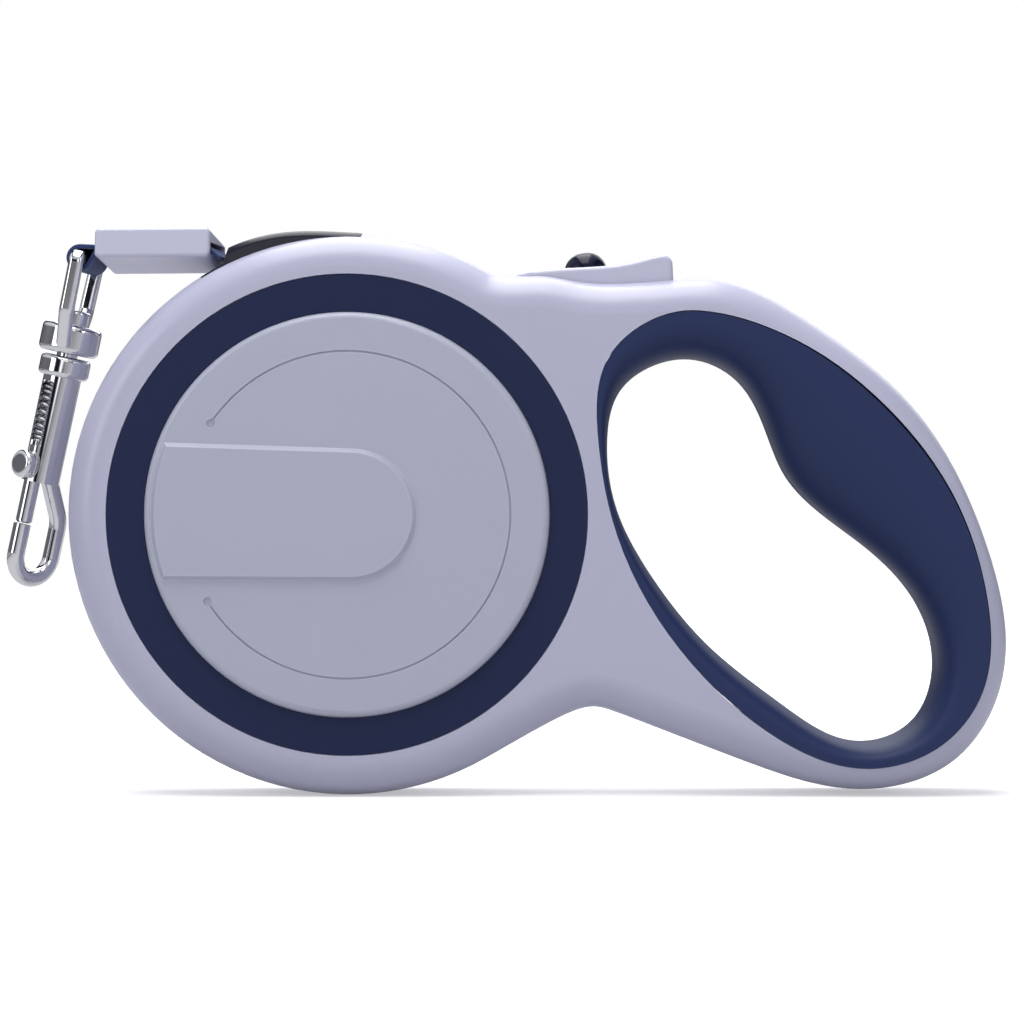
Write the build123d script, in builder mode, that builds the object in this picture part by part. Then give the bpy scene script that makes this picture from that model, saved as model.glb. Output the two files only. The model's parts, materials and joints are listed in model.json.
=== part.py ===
from build123d import *
import math
import os

# Retractable tape leash. Millimetres. X runs towards the handle, Z is up and -Y is the front.
# The origin is the middle of the grip opening, on the plane where the two casing shells meet.

# Casing
hub = Vector(-80.2, 0, 6.7)
body_radius = 52.6
rim_round = 6.2
half_casing = 13.0
face_recess = 0.8
ring_outer = 45.0
cover_radius = 37.8
cover_top = 14.2
cover_round = 1.3
tongue_top = 15.1
cavity_radius = 47.6
cavity_half = 10.8
seat_gap = 0.12

# Screws: head, shank and clearance
head_radius = 2.5
head_height = 1.8
screw_radius = 1.1
screw_clear = 1.4
head_clear = 2.8
screw_floor = 9.0
screw_reach = 8.0

# Spool and tape
tape_width = 14.0
tape_thick = 0.8
tape_length = 5000.0
coil_radius = 42.8
drum_radius = math.sqrt(coil_radius**2 - tape_length * tape_thick / math.pi)
drum_inside = drum_radius - 2.0
drum_spigot = drum_radius - 1.0
flange_radius = 45.8
flange_inside = 7.2
flange_outside = 8.7
axle_radius = 4.0
running_gap = 0.05
bush_radius = 6.0
tooth_count = 36
tooth_depth = 2.2
lid_under = 6.2
lid_post_radius = 2.6
lid_post_ring = drum_inside - 2.4
spring_width = 11.0
spring_strip = 0.4
spring_pitch = 1.25
spring_turns = 9

# Brake lever
pivot = (34.5, 42.6)
pin_radius = 1.5
pin_half = 9.9
lever_half = 8.0
pocket_half = 8.3
brake_angle = 35.0
arm_start = 5.0
arm_end = 7.9
nose_end = 8.9
lever_slope = 8.6
lock_centre = (44.9, 45.6)

# Tape end and clip
strap_yaw = 6.0
mouth = (-22.5, 50.2)
sleeve_length = 22.0
sleeve_width = 17.0
sleeve_thick = 5.6
sleeve_end = -2.7
sleeve_tilt = 7.5
slot_width = 14.6
slot_thick = 2.2
bar_place = (-27.9, -1.6)
loop_gap = 0.35
clip_lean = 12.2
hook_turn = 35.0
wire_radius = 1.4
barrel_radius = 3.6
collar_radius = 4.8
barrel_start = 18.9
collar_end = 22.9
barrel_end = 43.4
pin_shaft = 2.0
bolt_radius = 1.55
bolt_offset = 2.05
bolt_start = 36.6
bolt_end = 51.5
slot_start = 24.0
knob_place = 40.4
knob_radius = 2.7
knob_top = 6.2
hook_wire = 1.65

os.makedirs("parts", exist_ok=True)

# Frames. The side frame looks at the front of the casing from -Y with the spool's axle as its centre.
side = Plane(origin=hub, x_dir=(1, 0, 0), z_dir=(0, -1, 0))


def polar(radius, degrees):
    angle = math.radians(degrees)
    return (radius * math.cos(angle), radius * math.sin(angle))


yaw = math.radians(strap_yaw)
strap_x = Vector(math.cos(yaw), -math.sin(yaw), 0)
strap_out = Vector(-math.sin(yaw), -math.cos(yaw), 0)
mouth_point = hub + Vector(mouth[0], 0, mouth[1])
strap_side = Plane(origin=mouth_point, x_dir=strap_x, z_dir=strap_out)

lean = math.radians(clip_lean)
up = Vector(0, 0, 1)
bar_centre = mouth_point + strap_x * bar_place[0] + up * bar_place[1]
clip_x = strap_x * math.cos(lean) - up * math.sin(lean)
clip_down = strap_x * -math.sin(lean) - up * math.cos(lean)
turn = math.radians(hook_turn)
hook_x = clip_x * -math.sin(turn) + strap_out * math.cos(turn)
eye_plane = Plane(origin=bar_centre, x_dir=strap_out, z_dir=clip_x)
along_clip = Plane(origin=bar_centre, x_dir=hook_x, z_dir=clip_down)
hook_plane = Plane(origin=bar_centre, x_dir=hook_x, z_dir=hook_x.cross(clip_down * -1))

# Outlines, in the side frame

with BuildSketch() as casing_outline:
    with BuildLine():
        rim = CenterArc((0, 0), body_radius, 60, 240)
        Spline(
            rim @ 0,
            (36, 45.0),
            (44, 43.8),
            (52, 43.6),
            (60, 44.1),
            (68.5, 44.2),
            (87, 36.0),
            (105.8, 20.6),
            (120.3, -6.5),
            (123.0, -31),
            (113.8, -46.3),
            (97.3, -51.6),
            (76, -46.9),
            (50, -37.0),
            rim @ 1,
            tangents=[(rim % 0) * -1, (rim % 1) * -1],
        )
    make_face()

# Each pair is a point on the grip's outer edge and the point of the hand hole beside it.
grip_pairs = [
    ((65.8, 38.1), (64.6, 29.5)),
    ((55.9, 35.9), (57.5, 28.2)),
    ((48.7, 29.2), (51.5, 23.7)),
    ((46.9, 13.5), (48.8, 14.0)),
    ((48.9, 1.2), (50.7, 0.6)),
    ((54.5, -13.5), (56.8, -11.0)),
    ((65.8, -29.5), (68.0, -24.8)),
    ((79.0, -40.9), (81.5, -35.6)),
    ((96.0, -47.4), (97.8, -43.2)),
    ((110.2, -43.6), (106.9, -39.6)),
    ((118.5, -33.5), (111.0, -29.0)),
    ((119.6, -16.0), (107.0, -15.8)),
    ((113.5, 3.2), (96.0, -4.8)),
    ((100.5, 20.4), (82.3, 7.8)),
    ((88.5, 30.0), (78.7, 16.6)),
    ((77.5, 35.4), (73.6, 25.4)),
]


def grip_loop(share):
    """Points of the closed curve that lies the given share of the way from edge to hole."""
    points = []
    for edge, hole in grip_pairs:
        points.append((edge[0] + (hole[0] - edge[0]) * share, edge[1] + (hole[1] - edge[1]) * share))
    return points


with BuildSketch() as grip_outline:
    with BuildLine():
        Spline(*grip_loop(0), periodic=True)
    make_face()

# The hand opening widens from the parting plane to the front face along a full, rounded curve.
with BuildPart() as hand_funnel:
    for share in (1.0, 0.97, 0.88, 0.7, 0.4, 0.0):
        with BuildSketch(side.offset(half_casing * (1 - share**3) ** (1 / 3))):
            with BuildLine():
                Spline(*grip_loop(share), periodic=True)
            make_face()
    loft()

casing_screws_at = [(47.2, 33.4), (46.5, -27.5)]
grip_screws_at = [(90.5, 18.5), (116.8, -22.0)]

# The pocket that the lever sinks into
with BuildSketch() as lever_pocket:
    with BuildLine():
        Polyline(
            (30.6, 52), (30.6, 40.6), (33, 39.2), (36, 39.2), (42, 40.2), (61.6, 39.0), (61.6, 52), close=True
        )
    make_face()

# The way that the lever's arm takes down to the ratchet, wider around the nose
with BuildSketch() as arm_way:
    with BuildLine():
        Polyline(
            (32.2, 42), (32.2, 32), (36, 25), (39.5, 22.2), (44.9, 24.6), (44.4, 34.0), (42, 42), close=True
        )
    make_face()

with BuildSketch() as nose_way:
    with BuildLine():
        Polyline((34.0, 32.5), (36, 25), (39.5, 22.2), (44.9, 24.6), (44.4, 32.5), close=True)
    make_face()

# Half shell: outer form, spool chamber, seats for the ring and the grip, lever pocket
with BuildPart() as half_shell:
    with BuildSketch(side):
        add(casing_outline.sketch)
    extrude(amount=half_casing)
    fillet(half_shell.faces().sort_by(Axis.Y)[0].edges(), rim_round)
    with BuildSketch(side):
        Circle(cavity_radius)
    extrude(amount=cavity_half, mode=Mode.SUBTRACT)
    with BuildSketch(side.offset(half_casing)):
        Circle(ring_outer)
    extrude(amount=-face_recess, mode=Mode.SUBTRACT)
    with BuildSketch(side):
        add(grip_outline.sketch)
    extrude(amount=half_casing, mode=Mode.SUBTRACT)
    with BuildSketch(side):
        add(lever_pocket.sketch)
    extrude(amount=pocket_half, mode=Mode.SUBTRACT)
    with BuildSketch(side):
        with Locations(pivot):
            Circle(pin_radius)
    extrude(amount=pin_half, mode=Mode.SUBTRACT)
    with BuildSketch(side.offset(half_casing)):
        Circle(screw_clear)
    extrude(amount=-half_casing, mode=Mode.SUBTRACT)

# Mouth guide: a spout that the two shells hold between them, with a flat way through for the tape
guide_half = 9.2
guide_wall = 1.8
guide_round = 1.4
tape_leave = 79.9

with BuildSketch() as guide_outline:
    with BuildLine():
        Spline((2.5, 52.9), (-5.0, 53.25), (-12.4, 53.0), (-18.2, 51.8), (-22.4, 50.2))
        Polyline(
            (-22.4, 50.2),
            (-23.4, 47.1),
            (-27.6, 44.6),
            (-26.0, 42.2),
            (-21.0, 43.6),
            (-10.0, 46.4),
            (2.5, 47.6),
            (2.5, 52.9),
        )
    make_face()

with BuildSketch() as tape_way:
    with BuildLine():
        Polyline((6, 46.6), (6, 41.0), (-14, 45.0), (-29, 47.2), (-29, 50.2), (-22, 49.2), close=True)
    make_face()

with BuildPart() as mouth_guide:
    with BuildSketch(side):
        add(guide_outline.sketch)
    extrude(amount=guide_half, both=True)
    for end in (0, -1):
        side_edges = mouth_guide.faces().filter_by(Axis.Y).sort_by(Axis.Y)[end].edges()
        fillet(side_edges.sort_by(Axis.Z)[-1:], guide_round)
    with BuildSketch(side):
        add(tape_way.sketch)
    extrude(amount=guide_half - guide_wall, both=True, mode=Mode.SUBTRACT)
mouth_guide.part.label = "mouth_guide"
export_step(mouth_guide.part, "parts/mouth_guide.step")

# Front shell: the half shell with pilot holes and the arm's way
with BuildPart() as front_shell:
    add(half_shell.part)
    with BuildSketch(side):
        add(guide_outline.sketch)
    extrude(amount=guide_half, mode=Mode.SUBTRACT)
    with BuildSketch(side):
        add(arm_way.sketch)
    extrude(amount=pocket_half, mode=Mode.SUBTRACT)
    with BuildSketch(side):
        add(nose_way.sketch)
    extrude(amount=nose_end + 0.4, mode=Mode.SUBTRACT)
    with BuildSketch(side):
        with Locations(*casing_screws_at):
            Circle(screw_radius)
    extrude(amount=screw_reach, mode=Mode.SUBTRACT)
front_shell.part.label = "front_shell"
export_step(front_shell.part, "parts/front_shell.step")

# Back shell: the mirrored half shell with counterbored screw holes
with BuildPart() as back_shell:
    mirror(half_shell.part, about=Plane.XZ)
    with BuildSketch(side):
        add(guide_outline.sketch)
    extrude(amount=-guide_half, mode=Mode.SUBTRACT)
    with BuildSketch(side):
        with Locations(*casing_screws_at):
            Circle(screw_clear)
    extrude(amount=-half_casing, mode=Mode.SUBTRACT)
    with BuildSketch(side.offset(-screw_floor)):
        with Locations(*casing_screws_at):
            Circle(head_clear)
    extrude(amount=-half_casing, mode=Mode.SUBTRACT)
back_shell.part.label = "back_shell"
export_step(back_shell.part, "parts/back_shell.step")

# Grip halves: soft inlays that fill the handle around the hand opening
seat_share = 0.02
with BuildPart() as grip_blank:
    with BuildSketch(side):
        with BuildLine():
            Spline(*grip_loop(seat_share), periodic=True)
        make_face()
    extrude(amount=half_casing)
    add(hand_funnel.part, mode=Mode.SUBTRACT)

with BuildPart() as front_grip:
    add(grip_blank.part)
    with BuildSketch(side):
        with Locations(*grip_screws_at):
            Circle(screw_radius)
    extrude(amount=screw_reach, mode=Mode.SUBTRACT)
front_grip.part.label = "front_grip"
export_step(front_grip.part, "parts/front_grip.step")

with BuildPart() as back_grip:
    mirror(grip_blank.part, about=Plane.XZ)
    with BuildSketch(side):
        with Locations(*grip_screws_at):
            Circle(screw_clear)
    extrude(amount=-half_casing, mode=Mode.SUBTRACT)
    with BuildSketch(side.offset(-screw_floor)):
        with Locations(*grip_screws_at):
            Circle(head_clear)
    extrude(amount=-half_casing, mode=Mode.SUBTRACT)
back_grip.part.label = "back_grip"
export_step(back_grip.part, "parts/back_grip.step")


# Screws of the casing and of the grip, driven from the back. All heads have the same cross recess.
cross_size = 3.2
cross_depth = 0.9
with BuildSketch() as cross_recess:
    Rectangle(cross_size, cross_size / 4)
    Rectangle(cross_size / 4, cross_size)

with BuildPart() as casing_screws:
    with BuildSketch(side.offset(-screw_floor)):
        with Locations(*casing_screws_at):
            Circle(head_radius)
    extrude(amount=-head_height)
    with BuildSketch(side.offset(-screw_floor)):
        with Locations(*casing_screws_at):
            Circle(screw_radius)
    extrude(amount=screw_floor + screw_reach - 0.5)
    with BuildSketch(side.offset(-screw_floor - head_height)):
        with Locations(*casing_screws_at):
            add(cross_recess.sketch)
    extrude(amount=cross_depth, mode=Mode.SUBTRACT)
casing_screws.part.label = "casing_screws"
export_step(casing_screws.part, "parts/casing_screws.step")

with BuildPart() as grip_screws:
    with BuildSketch(side.offset(-screw_floor)):
        with Locations(*grip_screws_at):
            Circle(head_radius)
    extrude(amount=-head_height)
    with BuildSketch(side.offset(-screw_floor)):
        with Locations(*grip_screws_at):
            Circle(screw_radius)
    extrude(amount=screw_floor + screw_reach - 0.5)
    with BuildSketch(side.offset(-screw_floor - head_height)):
        with Locations(*grip_screws_at):
            add(cross_recess.sketch)
    extrude(amount=cross_depth, mode=Mode.SUBTRACT)
grip_screws.part.label = "grip_screws"
export_step(grip_screws.part, "parts/grip_screws.step")

# Trim rings: flat annuli sunk into the faces of the casing
ring_top = half_casing - 0.15
with BuildPart() as front_ring:
    with BuildSketch(side.offset(half_casing - face_recess)):
        Circle(ring_outer - seat_gap)
        Circle(cover_radius + seat_gap, mode=Mode.SUBTRACT)
    extrude(amount=ring_top - half_casing + face_recess)
front_ring.part.label = "front_ring"
export_step(front_ring.part, "parts/front_ring.step")

with BuildPart() as back_ring:
    mirror(front_ring.part, about=Plane.XZ)
back_ring.part.label = "back_ring"
export_step(back_ring.part, "parts/back_ring.step")

# Covers: round plates with a raised tongue, a fine groove and room for the axle's screw head
tongue_reach = 12.3
groove_radius = 30.5
groove_half = 0.2
groove_depth = 0.4
dot_radius = 0.85
groove_from = -148.0
groove_to = 146.0
with BuildSketch() as tongue_outline:
    with BuildLine():
        Polyline((-39, 13.6), (1.2, 12.3))
        RadiusArc((1.2, 12.3), (1.2, -12.3), tongue_reach + 0.01)
        Polyline((1.2, -12.3), (-39, -12.1), (-39, 13.6))
    make_face()

with BuildPart() as front_cover:
    with BuildSketch(side.offset(half_casing - face_recess)):
        Circle(cover_radius)
    extrude(amount=cover_top - half_casing + face_recess)
    fillet(front_cover.faces().sort_by(Axis.Y)[0].edges(), cover_round)
    with BuildSketch(side.offset(cover_top)):
        add(tongue_outline.sketch)
        Circle(cover_radius - cover_round, mode=Mode.INTERSECT)
    extrude(amount=tongue_top - cover_top, taper=40)
    with BuildSketch(side.offset(cover_top)):
        with BuildLine():
            outer_arc = CenterArc((0, 0), groove_radius + groove_half, groove_from, groove_to - groove_from)
            inner_arc = CenterArc((0, 0), groove_radius - groove_half, groove_from, groove_to - groove_from)
            Line(outer_arc @ 0, inner_arc @ 0)
            Line(outer_arc @ 1, inner_arc @ 1)
        make_face()
        with Locations(polar(groove_radius, groove_from), polar(groove_radius, groove_to)):
            Circle(dot_radius)
    extrude(amount=-groove_depth, mode=Mode.SUBTRACT)
    with BuildSketch(side.offset(half_casing - face_recess)):
        Circle(head_radius + 1.0)
    extrude(amount=head_height - 0.2, mode=Mode.SUBTRACT)
front_cover.part.label = "front_cover"
export_step(front_cover.part, "parts/front_cover.step")

with BuildPart() as back_cover:
    mirror(front_cover.part, about=Plane.XZ)
back_cover.part.label = "back_cover"
export_step(back_cover.part, "parts/back_cover.step")

# Axle across the spool chamber, with a screw and a washer at each end
with BuildPart() as axle:
    with BuildSketch(side.offset(-cavity_half)):
        Circle(axle_radius)
    extrude(amount=2 * cavity_half)
    with BuildSketch(side.offset(-cavity_half)):
        Circle(screw_radius)
    extrude(amount=2 * cavity_half, mode=Mode.SUBTRACT)
    with BuildSketch(side.offset(-spring_width / 2 - 0.5)):
        with Locations((axle_radius - 1, 0)):
            Rectangle(2.2, spring_strip + 0.2)
    extrude(amount=spring_width + 1, mode=Mode.SUBTRACT)
axle.part.label = "axle"
export_step(axle.part, "parts/axle.step")

axle_head = head_height - 0.6
seat_height = half_casing - face_recess
with BuildPart() as axle_screws:
    for way in (1, -1):
        with BuildSketch(side.offset(way * seat_height)):
            Circle(head_radius)
        extrude(amount=way * axle_head)
        with BuildSketch(side.offset(way * seat_height)):
            Circle(screw_radius)
        extrude(amount=-way * (seat_height - 2))
        with BuildSketch(side.offset(way * (seat_height + axle_head))):
            add(cross_recess.sketch)
        extrude(amount=-way * cross_depth, mode=Mode.SUBTRACT)
axle_screws.part.label = "axle_screws"
export_step(axle_screws.part, "parts/axle_screws.step")

washer_start = flange_outside + 0.2
with BuildPart() as thrust_washers:
    for way in (1, -1):
        with BuildSketch(side.offset(way * washer_start)):
            Circle(axle_radius + 4)
            Circle(axle_radius + running_gap, mode=Mode.SUBTRACT)
        extrude(amount=way * (cavity_half - washer_start))
thrust_washers.part.label = "thrust_washers"
export_step(thrust_washers.part, "parts/thrust_washers.step")

# Spool drum: hub wall, back flange, posts for the lid, boss for the tape's pin
lid_posts = [polar(lid_post_ring, angle) for angle in (30, 150, 270)]
anchor_at = polar(drum_inside - 0.2, 90)
anchor_radius = 0.9
with BuildPart() as spool_drum:
    with BuildSketch(side.offset(-flange_outside)):
        Circle(flange_radius)
        Circle(bush_radius, mode=Mode.SUBTRACT)
    extrude(amount=flange_outside - flange_inside)
    with BuildSketch(side.offset(-flange_inside)):
        Circle(drum_radius)
        Circle(drum_inside, mode=Mode.SUBTRACT)
    extrude(amount=2 * flange_inside)
    with BuildSketch(side.offset(flange_inside)):
        Circle(drum_spigot)
        Circle(drum_inside, mode=Mode.SUBTRACT)
    extrude(amount=flange_outside - flange_inside)
    with BuildSketch(side.offset(-flange_inside)):
        with Locations(*lid_posts):
            Circle(lid_post_radius)
        with Locations(anchor_at):
            Circle(anchor_radius + 0.9)
        Circle(drum_inside + 0.5, mode=Mode.INTERSECT)
    extrude(amount=flange_inside + lid_under)
    with BuildSketch(side.offset(lid_under)):
        with Locations(*lid_posts):
            Circle(screw_radius)
    extrude(amount=-screw_reach, mode=Mode.SUBTRACT)
    with BuildSketch(side.offset(lid_under)):
        with Locations(anchor_at):
            Circle(anchor_radius)
    extrude(amount=-flange_inside - lid_under, mode=Mode.SUBTRACT)
spool_drum.part.label = "spool_drum"
export_step(spool_drum.part, "parts/spool_drum.step")

# Ratchet flange: teeth spaced evenly round the rim, a gap standing at the brake's angle
gap_outer = 0.60
gap_inner = 0.42
root_radius = flange_radius - tooth_depth
pitch = 360 / tooth_count
with BuildPart() as ratchet_flange:
    with BuildSketch(side.offset(flange_inside)):
        Circle(flange_radius)
        Circle(drum_spigot, mode=Mode.SUBTRACT)
        for number in range(tooth_count):
            middle = brake_angle + number * pitch
            with BuildLine():
                Polyline(
                    polar(flange_radius + 1, middle - pitch * gap_outer / 2),
                    polar(root_radius, middle - pitch * gap_inner / 2),
                    polar(root_radius, middle + pitch * gap_inner / 2),
                    polar(flange_radius + 1, middle + pitch * gap_outer / 2),
                    close=True,
                )
            make_face(mode=Mode.SUBTRACT)
    extrude(amount=flange_outside - flange_inside)
ratchet_flange.part.label = "ratchet_flange"
export_step(ratchet_flange.part, "parts/ratchet_flange.step")

# Lid over the spring chamber and its screws
with BuildPart() as spring_lid:
    with BuildSketch(side.offset(lid_under)):
        Circle(drum_inside - running_gap)
        Circle(axle_radius + 0.4, mode=Mode.SUBTRACT)
        with Locations(*lid_posts):
            Circle(screw_clear, mode=Mode.SUBTRACT)
    extrude(amount=flange_inside - lid_under)
spring_lid.part.label = "spring_lid"
export_step(spring_lid.part, "parts/spring_lid.step")

with BuildPart() as lid_screws:
    with BuildSketch(side.offset(flange_inside)):
        with Locations(*lid_posts):
            Circle(head_radius - 0.3)
    extrude(amount=flange_outside - flange_inside - 0.2)
    with BuildSketch(side.offset(flange_inside)):
        with Locations(*lid_posts):
            Circle(screw_radius)
    extrude(amount=-screw_reach + 1)
    with BuildSketch(side.offset(flange_outside - 0.2)):
        with Locations(*lid_posts):
            add(cross_recess.sketch)
    extrude(amount=-cross_depth, mode=Mode.SUBTRACT)
lid_screws.part.label = "lid_screws"
export_step(lid_screws.part, "parts/lid_screws.step")

# Bush in the drum's back web, running on the axle
with BuildPart() as spool_bush:
    with BuildSketch(side.offset(-flange_outside)):
        Circle(bush_radius)
        Circle(axle_radius + running_gap, mode=Mode.SUBTRACT)
    extrude(amount=flange_outside - spring_width / 2 - 0.7)
spool_bush.part.label = "spool_bush"
export_step(spool_bush.part, "parts/spool_bush.step")

with BuildPart() as tape_pin:
    with BuildSketch(side.offset(lid_under - 0.2)):
        with Locations(anchor_at):
            Circle(anchor_radius)
    extrude(amount=-2 * lid_under)
tape_pin.part.label = "tape_pin"
export_step(tape_pin.part, "parts/tape_pin.step")

with BuildPart() as wound_tape:
    with BuildSketch(side.offset(-tape_width / 2)):
        Circle(coil_radius)
        Circle(drum_radius, mode=Mode.SUBTRACT)
    extrude(amount=tape_width)
wound_tape.part.label = "wound_tape"
export_step(wound_tape.part, "parts/wound_tape.step")

# Power spring: a flat spiral strip between the axle's slot and the lid posts
spiral_start = axle_radius + 0.3
steps_per_turn = 16


def spiral_points(shift):
    """Points of one side of the spring's strip, starting beside the axle's slot."""
    points = []
    for step in range(spring_turns * steps_per_turn + 1):
        share = step / steps_per_turn
        points.append(polar(spiral_start + shift + spring_pitch * share, 360 * share))
    return points


with BuildPart() as power_spring:
    with BuildSketch(side.offset(-spring_width / 2)):
        with BuildLine():
            Spline(*spiral_points(0))
            Spline(*spiral_points(spring_strip))
            Line(spiral_points(0)[0], spiral_points(spring_strip)[0])
            Line(spiral_points(0)[-1], spiral_points(spring_strip)[-1])
        make_face()
    extrude(amount=spring_width)
power_spring.part.label = "power_spring"
export_step(power_spring.part, "parts/power_spring.step")

# Brake lever: a shaped bar above the pocket, hollow underneath, with an arm and a nose for the ratchet
lever_wall = 1.8
lock_travel = 3.0
dome_radius = 4.0
dome_height = 4.1
slot_clear = 0.3
nose_rest = flange_radius + 0.5
nose_length = 4.5
arm_half = 1.6
slope = math.radians(lever_slope)
along_lever = Vector(math.cos(slope), 0, math.sin(slope))
off_lever = Vector(-math.sin(slope), 0, math.cos(slope))
lock_origin = hub + Vector(lock_centre[0], 0, lock_centre[1])
lock_plane = Plane(origin=lock_origin, x_dir=along_lever, z_dir=off_lever)
ceiling_start = (38.6, 44.2)
ceiling_end = (58.6, ceiling_start[1] + 20.0 * math.tan(slope))

with BuildSketch() as lever_outline:
    with BuildLine():
        Spline(
            (31.6, 45.3),
            (36.5, 46.0),
            (44.0, 46.5),
            (48.8, 46.8),
            (53.2, 47.45),
            (57.2, 48.5),
            (60.9, 48.9),
        )
        Polyline((60.9, 48.9), (61.2, 42.6), (40.0, 41.6), (31.6, 41.6), (31.6, 45.3))
    make_face()
    fillet(lever_outline.vertices().sort_by(Axis.Y)[-1], 1.8)

with BuildSketch() as lever_hollow:
    with BuildLine():
        Polyline((38.6, 40), ceiling_start, ceiling_end, (58.6, 40), close=True)
    make_face()

with BuildSketch() as lever_nose:
    with BuildLine():
        Polyline(
            polar(nose_rest, brake_angle - 1.2),
            polar(nose_rest + nose_length, brake_angle - 3.6),
            polar(nose_rest + nose_length, brake_angle + 3.6),
            polar(nose_rest, brake_angle + 1.2),
            close=True,
        )
    make_face()

with BuildSketch() as lever_arm:
    with BuildLine():
        Polyline(
            (pivot[0] - arm_half, pivot[1]),
            polar(nose_rest + 1.8, brake_angle + 2.2),
            polar(nose_rest + nose_length + 1.2, brake_angle - 2.0),
            (pivot[0] + arm_half + 1.4, pivot[1]),
            close=True,
        )
    make_face()
    with Locations(pivot):
        Circle(pin_radius + 1.4)
    add(lever_nose.sketch)

with BuildPart() as brake_lever:
    with BuildSketch(side):
        add(lever_outline.sketch)
    extrude(amount=lever_half, both=True)
    for end in (0, -1):
        lever_side = brake_lever.faces().filter_by(Axis.Y).sort_by(Axis.Y)[end]
        fillet(lever_side.edges().sort_by(Axis.Z)[-2:], 0.8)
    with BuildSketch(side):
        add(lever_hollow.sketch)
    extrude(amount=lever_half - lever_wall, both=True, mode=Mode.SUBTRACT)
    with BuildSketch(side.offset(-arm_end)):
        with Locations(pivot):
            Circle(pin_radius + 1.4)
    extrude(amount=2 * arm_end)
    with BuildSketch(side.offset(arm_start)):
        add(lever_arm.sketch)
    extrude(amount=arm_end - arm_start)
    with BuildSketch(side.offset(arm_start)):
        add(lever_nose.sketch)
    extrude(amount=nose_end - arm_start)
    with BuildSketch(side.offset(-half_casing)):
        with Locations(pivot):
            Circle(pin_radius + running_gap)
    extrude(amount=2 * half_casing, mode=Mode.SUBTRACT)
    with BuildSketch(lock_plane.offset(-1)):
        with Locations((lock_travel / 2, 0)):
            SlotCenterToCenter(lock_travel, 2 * (dome_radius + slot_clear))
    extrude(amount=6, mode=Mode.SUBTRACT)
brake_lever.part.label = "brake_lever"
export_step(brake_lever.part, "parts/brake_lever.step")

with BuildPart() as lever_pin:
    with BuildSketch(side.offset(-pin_half)):
        with Locations(pivot):
            Circle(pin_radius)
    extrude(amount=2 * pin_half)
lever_pin.part.label = "lever_pin"
export_step(lever_pin.part, "parts/lever_pin.step")

# Lock slider: a plate under the lever's skin with a dome that stands through the slot
plate_top = -0.7
plate_thick = 1.2
with BuildPart() as lock_slider:
    with BuildSketch(lock_plane.offset(plate_top)):
        with Locations((1, 0)):
            RectangleRounded(12, 11, 1)
    extrude(amount=-plate_thick)
    with BuildSketch(lock_plane.offset(plate_top)):
        Circle(dome_radius)
    extrude(amount=dome_height - plate_top)
    fillet(lock_slider.faces().sort_by(Axis.Z)[-1].edges(), dome_radius - 0.5)
lock_slider.part.label = "lock_slider"
export_step(lock_slider.part, "parts/lock_slider.step")


def coil_spring(start, direction, height, pitch, coil, wire):
    """A round-wire compression spring that starts at a point and runs along a direction."""
    with BuildPart() as spring:
        with BuildLine() as path:
            Helix(pitch, height, coil, center=start, direction=direction)
        with BuildSketch(Plane(origin=path.line @ 0, z_dir=path.line % 0)):
            Circle(wire)
        sweep(is_frenet=True)
    return spring


# Return spring between the pocket's floor and the lever
spring_at = (56.9, 39.9)
brake_spring = coil_spring(hub + Vector(spring_at[0], 0, spring_at[1]), (0, 0, 1), 6.4, 1.28, 1.1, 0.28)
brake_spring.part.label = "brake_spring"
export_step(brake_spring.part, "parts/brake_spring.step")

# Tape from the coil to the mouth, and the free lead from the mouth into the sleeve
leave = polar(coil_radius + 0.3 + tape_thick / 2, tape_leave)
run_length = 30.8
leave_way = (-math.sin(math.radians(tape_leave)), math.cos(math.radians(tape_leave)))
run_end = (leave[0] + leave_way[0] * run_length, leave[1] + leave_way[1] * run_length)
with BuildPart() as tape_run:
    with BuildSketch(side):
        with BuildLine():
            Line(leave, run_end)
        trace(line_width=tape_thick)
    extrude(amount=tape_width / 2, both=True)
tape_run.part.label = "tape_run"
export_step(tape_run.part, "parts/tape_run.step")

tail_end = -14.0
lead_start = (run_end[0] - mouth[0] - 0.9, run_end[1] - mouth[1] + 0.1)
with BuildPart() as tape_lead:
    with BuildSketch(strap_side):
        with BuildLine():
            Polyline(lead_start, (sleeve_end - 0.6, 0), (tail_end + 0.1, 0))
        trace(line_width=tape_thick)
    extrude(amount=tape_width / 2, both=True)
tape_lead.part.label = "tape_lead"
export_step(tape_lead.part, "parts/tape_lead.step")

# Sleeve on the tape's end, its outside turned a little about the tape
sleeve_far = sleeve_end - sleeve_length
tilt = math.radians(sleeve_tilt)
sleeve_out = strap_out * math.cos(tilt) + up * math.sin(tilt)
sleeve_middle = mouth_point + strap_x * (sleeve_end - sleeve_length / 2)
sleeve_plane = Plane(origin=sleeve_middle, x_dir=strap_x, z_dir=sleeve_out)
with BuildPart() as tape_sleeve:
    with BuildSketch(sleeve_plane):
        RectangleRounded(sleeve_length, sleeve_thick, 0.9)
    extrude(amount=sleeve_width / 2, both=True)
    for end in (0, -1):
        fillet(tape_sleeve.faces().sort_by(Axis.Y)[end].edges(), 0.7)
    with BuildSketch(strap_side):
        with Locations((sleeve_end - sleeve_length / 2, 0)):
            Rectangle(sleeve_length + 2, slot_thick)
    extrude(amount=slot_width / 2, both=True, mode=Mode.SUBTRACT)
tape_sleeve.part.label = "tape_sleeve"
export_step(tape_sleeve.part, "parts/tape_sleeve.step")

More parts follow.
